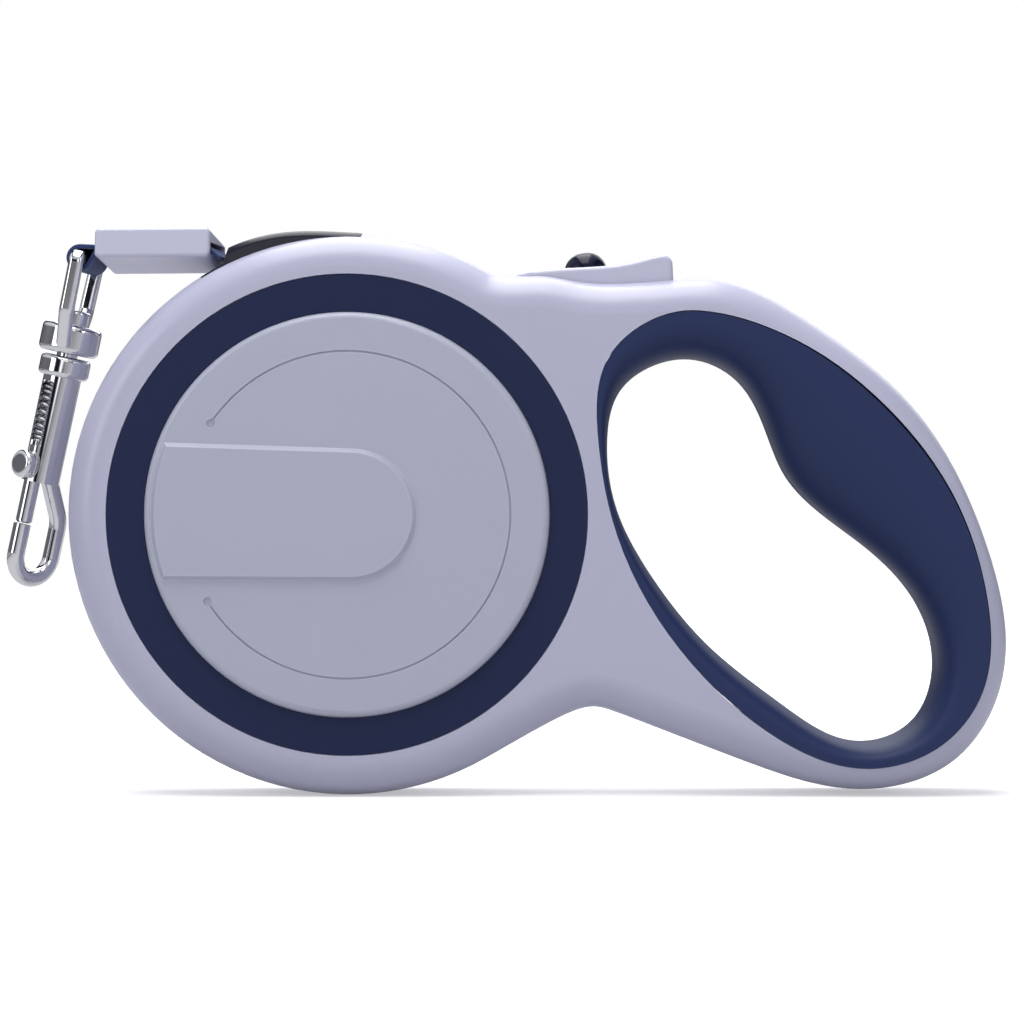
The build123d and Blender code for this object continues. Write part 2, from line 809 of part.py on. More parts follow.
# Webbing loop: the doubled tape around the eye's bar
loop_inner = wire_radius + loop_gap
loop_outer = loop_inner + tape_thick
with BuildPart() as tape_loop:
    with BuildSketch(strap_side):
        with Locations(bar_place):
            Circle(loop_outer)
        with Locations((sleeve_far - 0.1, 0)):
            Rectangle(0.4, 2 * tape_thick)
        make_hull()
        with Locations(((sleeve_far + tail_end) / 2, 0)):
            Rectangle(tail_end - sleeve_far, 2 * tape_thick)
        with Locations(bar_place):
            Circle(loop_inner, mode=Mode.SUBTRACT)
    extrude(amount=tape_width / 2, both=True)
tape_loop.part.label = "tape_loop"
export_step(tape_loop.part, "parts/tape_loop.step")

# Clip, top part: the eye with its bar in the webbing loop and a round base below
eye_base_start = 12.7
eye_base_end = 18.3
eye_base_radius = 5.7
head_start = 9.9
with BuildPart() as eye_base:
    with BuildSketch(along_clip.offset(eye_base_start)):
        Circle(eye_base_radius)
    extrude(amount=eye_base_end - eye_base_start)
    fillet(eye_base.edges().filter_by(GeomType.CIRCLE), 1.1)

with BuildPart() as swivel_eye:
    with BuildSketch(eye_plane) as eye_sketch:
        with BuildLine():
            Polyline((-10, -1.4), (10, -1.4), (9.2, 10.5), (5.4, 18), (-5.4, 18), (-9.2, 10.5), close=True)
        make_face()
        fillet(eye_sketch.vertices(), 2.2)
        with BuildLine():
            Polyline((-7.6, 1.4), (7.6, 1.4), (7.0, 9.0), (5.0, 13.6), (-5.0, 13.6), (-7.0, 9.0), close=True)
        make_face(mode=Mode.SUBTRACT)
    extrude(amount=wire_radius, both=True)
    fillet(swivel_eye.faces().filter_by(eye_plane).edges(), 0.95)
    add(eye_base.part)
    with BuildSketch(along_clip.offset(head_start)):
        Circle(pin_shaft + 0.08)
    extrude(amount=eye_base_end, mode=Mode.SUBTRACT)
swivel_eye.part.label = "swivel_eye"
export_step(swivel_eye.part, "parts/swivel_eye.step")

# Swivel pin: its head runs on the eye's base and its shaft is fixed in the barrel
with BuildPart() as swivel_pin:
    with BuildSketch(along_clip.offset(head_start)):
        Circle(2.9)
    extrude(amount=eye_base_start - 0.2 - head_start)
    fillet(swivel_pin.faces().sort_by(Axis.Z)[-1].edges(), 0.6)
    with BuildSketch(along_clip.offset(head_start + 1)):
        Circle(pin_shaft)
    extrude(amount=collar_end - head_start - 1.2)
swivel_pin.part.label = "swivel_pin"
export_step(swivel_pin.part, "parts/swivel_pin.step")

# Hook body: collar, barrel with the bolt's bore and slot, and the bent hook below
bore_radius = bolt_radius + 0.08
slot_end = 42.2
limb_far = -6.7
limb_near = 2.25
hook_bottom = 61.9
hook_tip = 51.8
with BuildPart() as hook_body:
    with BuildSketch(along_clip.offset(barrel_start)):
        Circle(collar_radius)
    extrude(amount=collar_end - barrel_start)
    fillet(hook_body.edges().filter_by(GeomType.CIRCLE), 0.9)
    with BuildSketch(along_clip.offset(collar_end)):
        Circle(barrel_radius)
    extrude(amount=barrel_end - collar_end)
    with BuildLine(hook_plane) as hook_path:
        FilletPolyline(
            (-1.5, -41.6),
            (limb_far, -50.2),
            (limb_far, -hook_bottom),
            (limb_near, -hook_bottom),
            (limb_near, -hook_tip),
            radius=[6, 4.4, 4.4],
        )
    with BuildSketch(Plane(origin=hook_path.line @ 0, z_dir=hook_path.line % 0)):
        Circle(hook_wire)
    sweep()
    with BuildSketch(along_clip.offset(slot_start)):
        with Locations((bolt_offset, 0)):
            Circle(bore_radius)
    extrude(amount=barrel_end - slot_start, mode=Mode.SUBTRACT)
    with BuildSketch(along_clip.offset(slot_start)):
        with Locations((bolt_offset + 2, 0)):
            Rectangle(4, 2 * bore_radius)
    extrude(amount=slot_end - slot_start, mode=Mode.SUBTRACT)
    with BuildSketch(along_clip.offset(barrel_start)):
        Circle(pin_shaft)
    extrude(amount=collar_end - barrel_start, mode=Mode.SUBTRACT)
hook_body.part.label = "hook_body"
export_step(hook_body.part, "parts/hook_body.step")

# Bolt, thumb knob and the bolt's spring
with BuildPart() as snap_bolt:
    with BuildSketch(along_clip.offset(bolt_start)):
        with Locations((bolt_offset, 0)):
            Circle(bolt_radius)
    extrude(amount=bolt_end - bolt_start)
    chamfer(snap_bolt.faces().sort_by(Axis.Z)[0].edges(), 0.3)
snap_bolt.part.label = "snap_bolt"
export_step(snap_bolt.part, "parts/snap_bolt.step")

knob_plane = Plane(origin=bar_centre + clip_down * knob_place, x_dir=clip_down, z_dir=hook_x)
with BuildPart() as thumb_knob:
    with BuildSketch(knob_plane.offset(bolt_offset)):
        Circle(1.1)
    extrude(amount=knob_top - bolt_offset - 0.5)
    with BuildSketch(knob_plane.offset(barrel_radius + 0.5)):
        Circle(knob_radius)
    extrude(amount=knob_top - barrel_radius - 0.5)
    fillet(thumb_knob.edges().filter_by(GeomType.CIRCLE).sort_by(SortBy.RADIUS)[-2:], 0.95)
    add(snap_bolt.part, mode=Mode.SUBTRACT)
thumb_knob.part.label = "thumb_knob"
export_step(thumb_knob.part, "parts/thumb_knob.step")

bolt_spring_start = bar_centre + clip_down * (slot_start + 0.4) + hook_x * bolt_offset
bolt_spring = coil_spring(bolt_spring_start, clip_down, 11.7, 1.3, 1.1, 0.26)
bolt_spring.part.label = "bolt_spring"
export_step(bolt_spring.part, "parts/bolt_spring.step")
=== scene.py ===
import json
import math

import bpy
from mathutils import Matrix, Vector


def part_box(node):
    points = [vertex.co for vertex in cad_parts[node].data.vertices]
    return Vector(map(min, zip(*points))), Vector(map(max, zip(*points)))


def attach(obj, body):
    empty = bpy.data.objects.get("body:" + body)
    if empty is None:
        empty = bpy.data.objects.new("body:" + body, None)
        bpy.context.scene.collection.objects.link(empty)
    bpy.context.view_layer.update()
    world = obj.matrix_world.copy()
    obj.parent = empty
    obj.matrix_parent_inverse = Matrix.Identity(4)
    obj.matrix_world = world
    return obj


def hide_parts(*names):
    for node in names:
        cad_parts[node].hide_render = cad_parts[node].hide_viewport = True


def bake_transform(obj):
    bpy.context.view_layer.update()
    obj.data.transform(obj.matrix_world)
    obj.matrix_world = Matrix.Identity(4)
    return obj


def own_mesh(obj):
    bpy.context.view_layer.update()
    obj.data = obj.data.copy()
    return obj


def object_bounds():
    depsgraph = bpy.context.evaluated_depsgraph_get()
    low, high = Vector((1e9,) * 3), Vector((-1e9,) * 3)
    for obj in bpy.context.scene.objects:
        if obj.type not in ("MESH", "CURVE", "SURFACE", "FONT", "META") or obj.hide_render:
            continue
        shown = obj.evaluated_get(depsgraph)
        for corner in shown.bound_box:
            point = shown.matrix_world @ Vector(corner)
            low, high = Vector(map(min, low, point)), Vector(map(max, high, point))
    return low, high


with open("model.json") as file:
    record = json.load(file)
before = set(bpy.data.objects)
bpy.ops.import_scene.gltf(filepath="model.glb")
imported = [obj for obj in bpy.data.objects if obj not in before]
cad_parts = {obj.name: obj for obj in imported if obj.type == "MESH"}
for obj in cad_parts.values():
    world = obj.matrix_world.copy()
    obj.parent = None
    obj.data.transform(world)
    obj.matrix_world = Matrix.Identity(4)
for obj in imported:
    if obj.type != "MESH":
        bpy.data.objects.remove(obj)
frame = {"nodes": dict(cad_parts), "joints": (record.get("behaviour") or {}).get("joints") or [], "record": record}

cad_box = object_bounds()
nodes = frame["nodes"]

# ---------------------------------------------------------------- sizes, in metres
MM = 0.001
full_turn = 2 * math.pi
up = Vector((0, 0, 1))

# The tape and what holds it, as (along the strap, height) from the mouth
tape_width = 14.0 * MM
tape_thick = 0.8 * MM
warp_yarns = 22
rib_relief = 0.035 * MM
bar_place = (-27.9 * MM, -1.6 * MM)
bar_to_tape = 2.15 * MM
sleeve_end = -2.7 * MM
sleeve_length = 22.0 * MM
sleeve_margin = 0.1 * MM
tape_tail = -14.0 * MM
lead_start = (-1.1 * MM, -1.87 * MM)
lead_straight = sleeve_end - 0.6 * MM
lead_tail = tape_tail + 0.2 * MM

strap_yaw = math.radians(6.0)
strap_x = Vector((math.cos(strap_yaw), -math.sin(strap_yaw), 0))
ring_low, ring_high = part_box("front_ring")
hub = (ring_low + ring_high) / 2
hub.y = 0.0
mouth = hub + Vector((-22.5 * MM, 0, 50.2 * MM))


def linear(*srgb):
    """Linear colour of an 8-bit display colour."""
    out = []
    for c in srgb:
        c = c / 255
        out.append(c / 12.92 if c <= 0.04045 else ((c + 0.055) / 1.055) ** 2.4)
    return (*out, 1.0)


def grey(value):
    return (value, value, value, 1.0)


def scaled(colour, by):
    """The colour made lighter or darker."""
    return (*(min(1.0, c * by) for c in colour[:3]), 1.0)


# ---------------------------------------------------------------- material writing
class Wire:
    """A node's output that sums can be written on."""

    def __init__(self, finish, socket):
        self.finish = finish
        self.socket = socket

    def out(self, name):
        return Wire(self.finish, self.socket.node.outputs[name])

    def sum(self, operation, *values):
        settings = {"operation": operation}
        return self.finish.node("ShaderNodeMath", settings, dict(enumerate((self, *values))))

    def __add__(self, other):
        return self.sum("ADD", other)

    def __sub__(self, other):
        return self.sum("SUBTRACT", other)

    def __rsub__(self, other):
        return self.finish.node("ShaderNodeMath", {"operation": "SUBTRACT"}, {0: other, 1: self})

    def __mul__(self, other):
        return self.sum("MULTIPLY", other)

    __radd__ = __add__
    __rmul__ = __mul__

    def size(self):
        return self.sum("ABSOLUTE")

    def sine(self):
        return self.sum("SINE")

    def between(self, low, high):
        """0 at low and 1 at high, held to that range."""
        values = {"Value": self, "From Min": low, "From Max": high}
        return self.finish.node("ShaderNodeMapRange", {"clamp": True}, values)


class Finish:
    """A material, or the studio's sky, in the making."""

    def __init__(self, name, sky=False):
        self.material = (bpy.data.worlds if sky else bpy.data.materials).new(name)
        self.material.use_nodes = True
        self.tree = self.material.node_tree
        self.tree.nodes.clear()
        self.place = self.node("ShaderNodeTexCoord").out("Generated" if sky else "Object")

    def node(self, kind, settings=None, values=None):
        made = self.tree.nodes.new(kind)
        for key, value in (settings or {}).items():
            setattr(made, key, value)
        for key, value in (values or {}).items():
            if isinstance(value, Wire):
                self.tree.links.new(value.socket, made.inputs[key])
            else:
                made.inputs[key].default_value = value
        shown = [s for s in made.outputs if s.enabled]
        return Wire(self, shown[0]) if shown else None

    def noise(self, scale, detail=2.0, roughness=0.5, at=None):
        values = {"Vector": at or self.place, "Scale": scale, "Detail": detail, "Roughness": roughness}
        return self.node("ShaderNodeTexNoise", None, values)

    def stretched(self, x, y, z):
        """The place, scaled along each way."""
        return self.node("ShaderNodeMapping", None, {"Vector": self.place, "Scale": (x, y, z)})

    def part(self, of, name):
        return self.node("ShaderNodeSeparateXYZ", None, {"Vector": of}).out(name)

    def chart(self, name):
        """One way of the piece's own chart, in metres."""
        return self.part(self.node("ShaderNodeUVMap", {"uv_map": "UVMap"}), name)

    def mix(self, share, first, second):
        """The first colour turning into the second as share goes from 0 to 1."""
        return self.node("ShaderNodeMix", {"data_type": "RGBA"}, {0: share, 6: first, 7: second})

    def bump(self, height, strength, depth):
        values = {"Height": height, "Strength": strength, "Distance": depth}
        return self.node("ShaderNodeBump", None, values)

    def sharp_edge(self, radius):
        """1 on sharp outer and inner edges, 0 on the flats."""
        rounded = self.node("ShaderNodeBevel", {"samples": 4}, {"Radius": radius})
        flat = self.node("ShaderNodeNewGeometry").out("Normal")
        along = self.node("ShaderNodeVectorMath", {"operation": "DOT_PRODUCT"}, {0: rounded, 1: flat})
        return (1 - along.out("Value")).between(0.01, 0.12)

    def seam(self, half):
        """1 on the parting line of the two halves, on the plane y = 0."""
        return 1 - self.part(self.place, "Y").size().between(half * 0.5, half)

    def surface(self, **sockets):
        values = {key.replace("_", " "): value for key, value in sockets.items()}
        shader = self.node("ShaderNodeBsdfPrincipled", None, values)
        self.node("ShaderNodeOutputMaterial", None, {"Surface": shader})
        return self.material


# How fine each pattern is, as a noise scale over a metre
shade_drift = 14
handling = 38
shade_cloud = 90
sink_swell = 120
dust_specks = 2600
plating_haze = 160
dull_spots = 900
hair_scratch = 1400
dye_drift = 220
yarn_fuzz = 5200
# The weft's run along the tape, and its slant across it
weft_pitch = 0.62 * MM
twill_pitch = 1.27 * MM


def moulded(
    name, colour, rough, grain, grain_depth, seam=0.0, coat=0.0, gloss=0.5, edge_wear_and_highlight=0.22
):
    """Moulded plastic or rubber: fine grain, slow shade changes, handling marks, and paler edges, partly dust and
    wear and partly a painted highlight.
    """
    f = Finish(name)
    drift = f.noise(shade_drift, 3)
    cloud = f.noise(shade_cloud, 4, 0.6)
    tint = f.mix(drift.between(0.3, 0.7) * 0.55, scaled(colour, 0.965), scaled(colour, 1.035))
    tint = f.mix(cloud.between(0.55, 0.8) * 0.12, tint, scaled(colour, 1.12))
    edge = f.sharp_edge(0.35 * MM)
    # Paler edges: partly dust and wear, partly a painted highlight along the rims; at a share of 1.0 it is mostly
    # painted highlight.
    tint = f.mix(edge * edge_wear_and_highlight, tint, scaled(colour, 1.25))
    handled = f.noise(handling, 5, 0.65).between(0.45, 0.75)
    dust = f.noise(dust_specks, 1).between(0.68, 0.78)
    grains = f.noise(grain, 2, 0.6)
    swell = f.noise(sink_swell, 2)
    height = grains * 0.8 + swell * 0.6
    shine = rough + handled * 0.07 + edge * 0.05 + dust * 0.05
    if seam:
        line = f.seam(seam)
        tint = f.mix(line * 0.75, tint, scaled(colour, 0.25))
        height = height - line * 6.0
    return f.surface(
        Base_Color=tint,
        Roughness=shine,
        Normal=f.bump(height, 0.35, grain_depth),
        Coat_Weight=coat,
        Coat_Roughness=0.22,
        Specular_IOR_Level=gloss,
        IOR=1.47,
    )


def bright_metal(name, colour, rough, streak=0.0):
    """Plated or plain metal: hair scratches, faint haze and dull hollows."""
    f = Finish(name)
    haze = f.noise(plating_haze, 4, 0.6)
    fine = f.noise(hair_scratch, 3, 0.6, f.stretched(1, 1, 0.06))
    spots = f.noise(dull_spots, 2).between(0.7, 0.8)
    tint = f.mix(haze.between(0.35, 0.7) * 0.3, colour, scaled(colour, 0.86))
    edge = f.sharp_edge(0.25 * MM)
    tint = f.mix(edge * 0.25, tint, scaled(colour, 1.12))
    scratched = fine.between(0.55, 0.75) * (0.05 + streak)
    shine = rough + haze.between(0.4, 0.75) * 0.06 + spots * 0.08 + scratched
    normal = f.bump(fine * (0.4 + 4 * streak) + haze * 0.5, 0.12, 0.02 * MM)
    return f.surface(Base_Color=tint, Metallic=1.0, Roughness=shine, Normal=normal)


def woven(name, colour, charted):
    """Flat woven tape: warp ribs along it, a twill of weft across it, fuzz, slow dye changes, and painted shade in
    the weave's hollows with painted highlight on its ridges.
    """
    f = Finish(name)
    if charted:
        along = f.chart("X")
        across = f.chart("Y")
    else:
        along = f.part(f.place, "X") + f.part(f.place, "Z") * 0.6
        across = f.part(f.place, "Y")
    warp = (across * (full_turn * warp_yarns / tape_width)).sine()
    weft = (along * (full_turn / weft_pitch) + across * (full_turn / twill_pitch)).sine()
    fuzz = f.noise(yarn_fuzz, 3, 0.7)
    drift = f.noise(dye_drift, 3)
    height = warp * 0.5 + weft * 0.55 + fuzz * 0.5
    # Painted shade and highlight: the colour is darker in the weave's hollows and lighter on its ridges, following
    # the relief.
    light = (height * 0.35 + 0.35).between(0.0, 1.0)
    tint = f.mix(light, scaled(colour, 0.55), scaled(colour, 1.45))
    tint = f.mix(drift.between(0.4, 0.7) * 0.25, tint, scaled(colour, 1.25))
    return f.surface(
        Base_Color=tint,
        Roughness=0.72 + fuzz * 0.12,
        Normal=f.bump(height, 0.75, 0.09 * MM),
        Sheen_Weight=0.35,
        Sheen_Roughness=0.45,
        Specular_IOR_Level=0.3,
    )


lavender = linear(186, 187, 211)
pale_lavender = linear(196, 197, 219)
silver_lavender = linear(180, 182, 202)
navy = linear(24, 35, 72)
grip_blue = linear(34, 48, 90)
tape_blue = linear(40, 60, 108)
guide_black = linear(15, 18, 36)
lock_black = linear(13, 16, 40)
spool_white = linear(222, 221, 214)
bush_ivory = linear(230, 226, 205)
chrome_white = (0.74, 0.74, 0.77, 1.0)
steel_grey = (0.62, 0.62, 0.64, 1.0)
spring_grey = (0.5, 0.5, 0.53, 1.0)

# Each moulding's colour, roughness, grain and the grain's depth in mm, and its other looks
mouldings = {
    "shell_plastic": (lavender, 0.3, 1500, 0.012, {"seam": 0.11 * MM, "coat": 0.12}),
    "lever_plastic": (pale_lavender, 0.3, 1500, 0.012, {"coat": 0.12}),
    # The cover's edges are made fully paler, a painted highlight on the rims of the disc and the tongue.
    "cover_plastic": (silver_lavender, 0.34, 1700, 0.014, {"coat": 0.1, "edge_wear_and_highlight": 1.0}),
    "ring_plastic": (navy, 0.55, 2600, 0.03, {"gloss": 0.28}),
    "grip_rubber": (grip_blue, 0.5, 2200, 0.022, {"seam": 0.14 * MM, "gloss": 0.3}),
    "guide_plastic": (guide_black, 0.2, 1300, 0.01, {"coat": 0.08, "gloss": 0.36}),
    "lock_plastic": (lock_black, 0.2, 1500, 0.01, {"gloss": 0.22}),
    "spool_plastic": (spool_white, 0.4, 1600, 0.02, {}),
    "bush_plastic": (bush_ivory, 0.35, 1800, 0.02, {}),
}
finishes = {
    name: moulded(name, colour, rough, grain, depth * MM, **looks)
    for name, (colour, rough, grain, depth, looks) in mouldings.items()
}
finishes["chrome"] = bright_metal("chrome", chrome_white, rough=0.05)
finishes["steel"] = bright_metal("steel", steel_grey, rough=0.24, streak=0.1)
finishes["spring_steel"] = bright_metal("spring_steel", spring_grey, rough=0.22, streak=0.06)
finishes["webbing"] = woven("webbing", tape_blue, charted=False)
finishes["webbing_along"] = woven("webbing_along", tape_blue, charted=True)

own_finish = {
    "lock_slider": "lock_plastic",
    "brake_lever": "lever_plastic",
    "tape_sleeve": "lever_plastic",
}
for row in frame["record"]["subparts"]:
    slots = nodes[row["node"]].data.materials
    slots.clear()
    slots.append(finishes[own_finish.get(row["node"], row["material_slot"])])


# ---------------------------------------------------------------- Geometry Nodes writing
class Growth:
    """A Geometry Nodes tree in the making, with named inputs."""

    def __init__(self, name, **inputs):
        self.tree = bpy.data.node_groups.new(name, "GeometryNodeTree")
        self.keys = {}
        sockets = self.tree.interface
        sockets.new_socket("Geometry", in_out="INPUT", socket_type="NodeSocketGeometry")
        sockets.new_socket("Geometry", in_out="OUTPUT", socket_type="NodeSocketGeometry")
        kinds = {float: "NodeSocketFloat", int: "NodeSocketInt"}
        for label, value in inputs.items():
            made = sockets.new_socket(label, in_out="INPUT", socket_type=kinds[type(value)])
            made.default_value = value
            self.keys[label] = made.identifier
        self.start = self.tree.nodes.new("NodeGroupInput")
        self.end = self.tree.nodes.new("NodeGroupOutput")

    def node(self, kind, settings=None, values=None):
        made = self.tree.nodes.new(kind)
        for key, value in (settings or {}).items():
            setattr(made, key, value)
        for key, value in (values or {}).items():
            self.put(value, made.inputs[key])
        return made

    def put(self, value, socket):
        """Links a socket's value, or sets a plain one."""
        if isinstance(value, bpy.types.NodeSocket):
            self.tree.links.new(value, socket)
        else:
            socket.default_value = value

    def given(self, label):
        return self.start.outputs[label]

    def sum(self, operation, *values):
        return self.node("ShaderNodeMath", {"operation": operation}, dict(enumerate(values))).outputs[0]

    def place(self):
        """The point's X, Y and Z."""
        spot = self.node("GeometryNodeInputPosition")
        return self.node("ShaderNodeSeparateXYZ", None, {"Vector": spot.outputs[0]}).outputs

    def kept(self, geometry, label, value):
        """The geometry and a field as it was here, for later nodes."""
        made = self.node("GeometryNodeCaptureAttribute", None, {"Geometry": geometry})
        made.capture_items.new("FLOAT", label)
        self.put(value, made.inputs[label])
        return made.outputs["Geometry"], made.outputs[label]

    def swept(self, line, profile):
        """A closed skin of the profile along the line."""
        values = {"Curve": line, "Profile Curve": profile, "Fill Caps": True}
        return self.node("GeometryNodeCurveToMesh", None, values).outputs[0]

    def close(self, geometry, material):
        """The tree's end: smooth faces, real geometry and its material."""
        smooth = self.node(
            "GeometryNodeSetShadeSmooth", None, {"Geometry": geometry, "Shade Smooth": True}
        )
        real = self.node("GeometryNodeRealizeInstances", None, {"Geometry": smooth.outputs[0]})
        dressed = self.node(
            "GeometryNodeSetMaterial", None, {"Geometry": real.outputs[0], "Material": material}
        )
        self.tree.links.new(dressed.outputs[0], self.end.inputs["Geometry"])

    def grow(self, name, source, **inputs):
        """A plain mesh object: this tree run on the source object, which is then removed."""
        modifier = source.modifiers.new("growth", "NODES")
        modifier.node_group = self.tree
        for label, value in inputs.items():
            modifier[self.keys[label]] = value
        bpy.context.view_layer.update()
        seen = source.evaluated_get(bpy.context.evaluated_depsgraph_get())
        mesh = bpy.data.meshes.new_from_object(seen)
        source.modifiers.remove(modifier)
        bpy.data.objects.remove(source)
        mesh.name = name
        return placed_object(name, mesh)


def placed_object(name, data):
    made = bpy.data.objects.new(name, data)
    bpy.context.scene.collection.objects.link(made)
    return made


def line_object(name, points):
    """A curve object through the points as straight runs."""
    curve = bpy.data.curves.new(name, "CURVE")
    curve.dimensions = "3D"
    spline = curve.splines.new("POLY")
    spline.points.add(len(points) - 1)
    for point, place in zip(spline.points, points):
        point.co = (*place, 1)
    return placed_object(name, curve)


# ---------------------------------------------------------------- the tape
def tape_growth():
    """A ribbed flat band along a line, with a chart that follows it."""
    step_along = 0.35 * MM
    selvedge_round = 0.34 * MM
    selvedge_steps = 5
    profile_points = 264
    g = Growth(
        "flat_tape", Width=tape_width, Thickness=tape_thick, Ribs=warp_yarns, Relief=rib_relief
    )
    way = g.node(
        "GeometryNodeResampleCurve",
        {"mode": "LENGTH"},
        {"Curve": g.given("Geometry"), "Length": step_along},
    )
    walked = g.node("GeometryNodeSplineParameter").outputs["Length"]
    line, along = g.kept(way.outputs[0], "Along", walked)
    slab = g.node(
        "GeometryNodeCurvePrimitiveQuadrilateral",
        None,
        {"Width": g.given("Width"), "Height": g.given("Thickness")},
    )
    soft = g.node(
        "GeometryNodeFilletCurve",
        {"mode": "POLY"},
        {"Curve": slab.outputs[0], "Count": selvedge_steps, "Radius": selvedge_round},
    )
    fine = g.node(
        "GeometryNodeResampleCurve",
        {"mode": "COUNT"},
        {"Curve": soft.outputs[0], "Count": profile_points},
    )
    x, y, _ = g.place()
    profile, across = g.kept(fine.outputs[0], "Across", x)
    ribs_in = g.sum("MULTIPLY", g.sum("DIVIDE", x, g.given("Width")), g.given("Ribs"))
    wave = g.sum("COSINE", g.sum("MULTIPLY", ribs_in, full_turn))
    lift = g.sum("MULTIPLY", wave, g.given("Relief"))
    outward = g.sum("MULTIPLY", lift, g.sum("SIGN", y))
    shift = g.node("ShaderNodeCombineXYZ", None, {"Y": outward})
    ribbed = g.node(
        "GeometryNodeSetPosition", None, {"Geometry": profile, "Offset": shift.outputs[0]}
    )
    chart = g.node("ShaderNodeCombineXYZ", None, {"X": along, "Y": across})
    charted = g.node(
        "GeometryNodeStoreNamedAttribute",
        {"data_type": "FLOAT2", "domain": "CORNER"},
        {"Geometry": g.swept(line, ribbed.outputs[0]), "Name": "UVMap", "Value": chart.outputs[0]},
    )
    g.close(charted.outputs[0], finishes["webbing_along"])
    return g


def strap_point(x, z):
    """A place in the strap's own plane, from the mouth."""
    return mouth + strap_x * x + up * z


def loop_points():
    """The doubled tape's middle line: out along the top, round the bar, back along the bottom."""
    steps_round = 28
    half = tape_thick / 2
    sleeve_far = sleeve_end - sleeve_length - sleeve_margin
    leaving = []
    for z, turn in ((half, 1), (-half, -1)):
        dx, dz = sleeve_far - bar_place[0], z - bar_place[1]
        leaving.append(math.atan2(dz, dx) + turn * math.acos(bar_to_tape / math.hypot(dx, dz)))
    first, last = leaving[0], leaving[1] + full_turn
    places = [(tape_tail, half), (sleeve_far, half)]
    for i in range(steps_round + 1):
        a = first + (last - first) * i / steps_round
        places.append((bar_place[0] + bar_to_tape * math.cos(a), bar_place[1] + bar_to_tape * math.sin(a)))
    places += [(sleeve_far, -half), (tape_tail, -half)]
    return [strap_point(x, z) for x, z in places]


ribbing = tape_growth()
loop = ribbing.grow("tape_loop_webbing", line_object("loop_line", loop_points()))
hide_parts("tape_loop")
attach(loop, "tape_end")

lead_way = [strap_point(*lead_start), strap_point(lead_straight, 0), strap_point(lead_tail, 0)]
lead = ribbing.grow("tape_lead_webbing", line_object("lead_line", lead_way))
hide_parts("tape_lead")
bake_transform(lead)


# ---------------------------------------------------------------- coil springs
def coil_growth():
    """An open coil of round wire along Z, with its turns closer at both ends."""
    turn_points = 40
    wire_sides = 12
    end_closing = 0.12
    g = Growth("coil", Turns=8.0, Coil=1.2 * MM, Wire=0.27 * MM, Length=10.0 * MM)
    helix = g.node(
        "GeometryNodeCurveSpiral",
        None,
        {
            "Resolution": turn_points,
            "Rotations": g.given("Turns"),
            "Start Radius": g.given("Coil"),
            "End Radius": g.given("Coil"),
            "Height": g.given("Length"),
        },
    )
    x, y, z = g.place()
    eased = g.node(
        "ShaderNodeMapRange",
        {"interpolation_type": "SMOOTHSTEP"},
        {
            "Value": g.sum("DIVIDE", z, g.given("Length")),
            "From Min": -end_closing,
            "From Max": 1 + end_closing,
            "To Min": 0.0,
            "To Max": 1.0,
        },
    )
    raised = g.sum("MULTIPLY", eased.outputs[0], g.given("Length"))
    placed = g.node("ShaderNodeCombineXYZ", None, {"X": x, "Y": y, "Z": raised})
    tight = g.node(
        "GeometryNodeSetPosition", None, {"Geometry": helix.outputs[0], "Position": placed.outputs[0]}
    )
    wire = g.node(
        "GeometryNodeCurvePrimitiveCircle", None, {"Resolution": wire_sides, "Radius": g.given("Wire")}
    )
    g.close(g.swept(tight.outputs[0], wire.outputs[0]), finishes["spring_steel"])
    return g


winding = coil_growth()


def coil(node, body, way, length, turns, radius, wire_half):
    """A coil in place of a CAD one, from the end that stays put along its way."""
    low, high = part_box(node)
    start = (low + high) / 2 - way * (length / 2)
    made = winding.grow(
        node + "_coil",
        line_object("coil_seed", [(0, 0, 0), (0, 0, length)]),
        Turns=turns,
        Coil=radius,
        Wire=wire_half,
        Length=length,
    )
    made.data.transform(Matrix.Translation(start) @ way.to_track_quat("Z", "Y").to_matrix().to_4x4())
    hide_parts(node)
    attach(made, body)
    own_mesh(made)


bolt_way = next(Vector(j["axis"]) for j in frame["joints"] if j["name"] == "bolt_slide").normalized()
coil(
    "bolt_spring",
    "clip_hook",
    way=-bolt_way,
    length=11.7 * MM,
    turns=10.0,
    radius=1.04 * MM,
    wire_half=0.25 * MM,
)
coil(
    "brake_spring",
    "casing",
    way=up,
    length=6.3 * MM,
    turns=5.5,
    radius=1.0 * MM,
    wire_half=0.27 * MM,
)


# ---------------------------------------------------------------- floor, light and camera
def floor_disc(radius, height, sides=64):
    mesh = bpy.data.meshes.new("floor")
    turns = [full_turn * i / sides for i in range(sides)]
    rim = [(radius * math.cos(a), radius * math.sin(a), height) for a in turns]
    mesh.from_pydata(rim, [], [list(range(sides))])
    return placed_object("floor", mesh)


floor = floor_disc(radius=3.0, height=cad_box[0][2] - 0.2 * MM)
f = Finish("pale_floor")
away = f.node("ShaderNodeVectorMath", {"operation": "LENGTH"}, {0: f.place}).out("Value")
# Painted light: to the camera the floor is paler and glows, faintly near the object and almost white further out;
# for the light it throws onto the object it is a mid grey with only a faint glow.
seen = f.node("ShaderNodeLightPath").out("Is Camera Ray")
paper = f.mix(f.noise(3, 2).between(0.3, 0.7), (0.84, 0.84, 0.85, 1), grey(0.88))
painted_floor_glow = f.mix(away.between(0.12, 0.8), grey(0.4), grey(0.98))
floor.data.materials.append(
    f.surface(
        Base_Color=f.mix(seen, (0.5, 0.5, 0.52, 1), paper),
        Roughness=0.9,
        Emission_Color=f.mix(seen, grey(0.1), painted_floor_glow),
        Emission_Strength=1.0,
        Specular_IOR_Level=0.0,
    )
)

middle = Vector((-0.05, 0, 0.005))


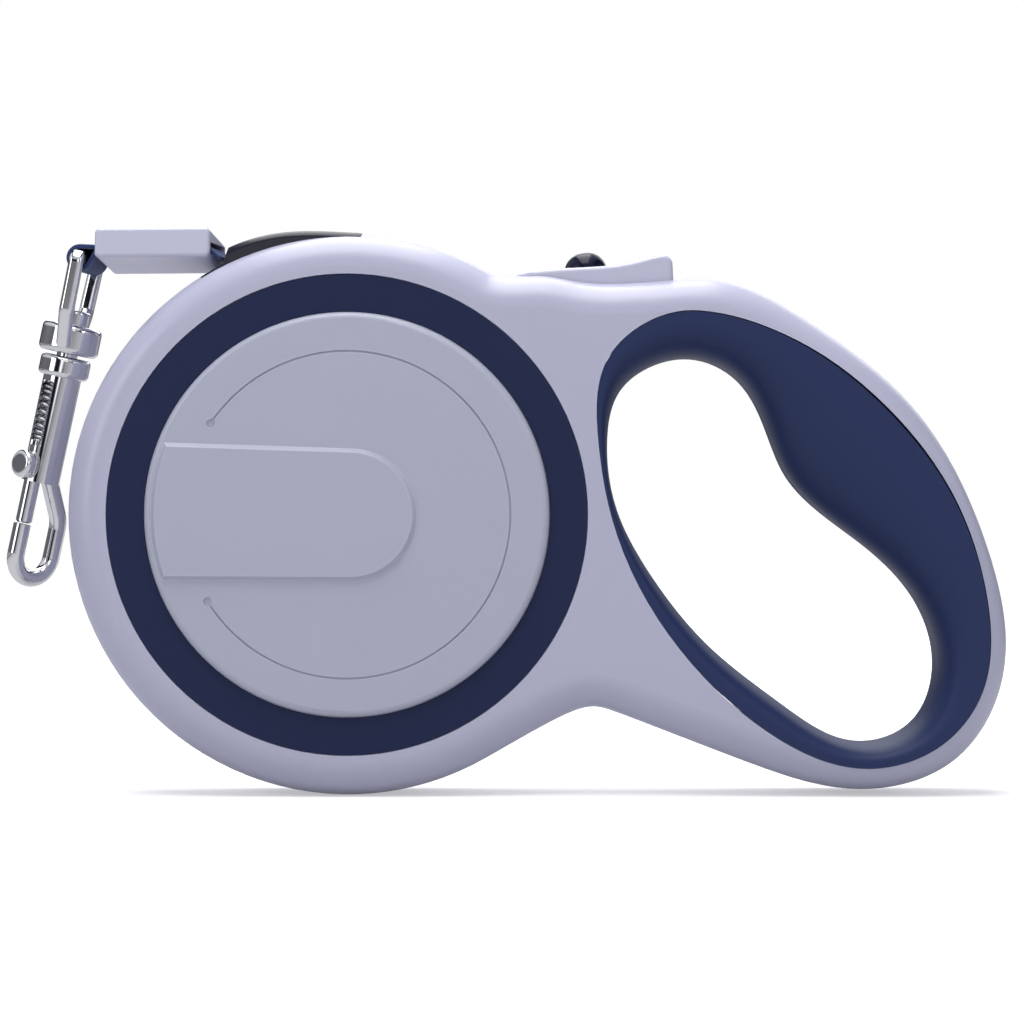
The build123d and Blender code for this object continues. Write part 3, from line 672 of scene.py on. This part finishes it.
def softbox(name, offset, wide, tall, watts):
    """A rectangular light, off the object's middle and aimed at it."""
    lamp = bpy.data.lights.new(name, "AREA")
    lamp.shape = "RECTANGLE"
    lamp.size, lamp.size_y = wide, tall
    lamp.energy = watts
    made = placed_object(name, lamp)
    made.location = middle + Vector(offset)
    made.rotation_euler = (middle - made.location).to_track_quat("-Z", "Y").to_euler()


softbox("overhead", (-0.05, 0.0, 0.6), wide=0.9, tall=0.4, watts=5.6)
softbox("left_key", (-0.75, -0.55, 0.3), wide=0.35, tall=0.6, watts=1.5)
softbox("right_fill", (0.8, -0.6, 0.25), wide=0.35, tall=0.6, watts=1.2)
softbox("front_fill", (0.0, -1.3, 0.25), wide=0.8, tall=0.5, watts=1.3)
softbox("rear_rim", (0.1, 0.7, 0.4), wide=0.9, tall=0.4, watts=1.2)

# The studio's sky: plain white behind, and dark screens that only show as reflections in the metal
f = Finish("studio", sky=True)
side_way, height = (f.part(f.place, axis) for axis in "XZ")
left_screen = (side_way + 0.42).size().between(0.2, 0.08)
right_screen = (side_way - 0.72).size().between(0.16, 0.07)
low_screen = (height - 0.16).size().between(0.12, 0.04) * 0.7
screens = left_screen + right_screen + low_screen
open_sky = f.mix(height.between(-0.1, 0.9), (0.3, 0.31, 0.34, 1), (0.95, 0.96, 1.0, 1))
shown_in_metal = f.mix(screens.between(0.0, 1.0), open_sky, (0.01, 0.01, 0.014, 1))
rays = f.node("ShaderNodeLightPath")
soft_room = f.node("ShaderNodeBackground", None, {"Color": (0.62, 0.63, 0.66, 1), "Strength": 0.3})
metal_room = f.node("ShaderNodeBackground", None, {"Color": shown_in_metal, "Strength": 1.0})
white_room = f.node("ShaderNodeBackground", None, {"Color": grey(1), "Strength": 1.0})
room = f.node("ShaderNodeMixShader", None, {0: rays.out("Is Glossy Ray"), 1: soft_room, 2: metal_room})
room = f.node("ShaderNodeMixShader", None, {0: rays.out("Is Camera Ray"), 1: room, 2: white_room})
f.node("ShaderNodeOutputWorld", None, {"Surface": room})
bpy.context.scene.world = f.material

camera_far = 0.68
camera_side = -49.4 * MM
camera_height = 7.2 * MM
field_wide = 0.1946
lens = bpy.data.cameras.new("camera")
lens.sensor_width = 36.0
lens.lens = lens.sensor_width * camera_far / field_wide
lens.clip_start = 0.01
lens.clip_end = 50
camera = placed_object("camera", lens)
camera.location = (camera_side, -camera_far, camera_height)
camera.rotation_euler = (math.radians(90), 0, 0)
bpy.context.scene.camera = camera
bpy.context.scene.view_settings.view_transform = "Standard"
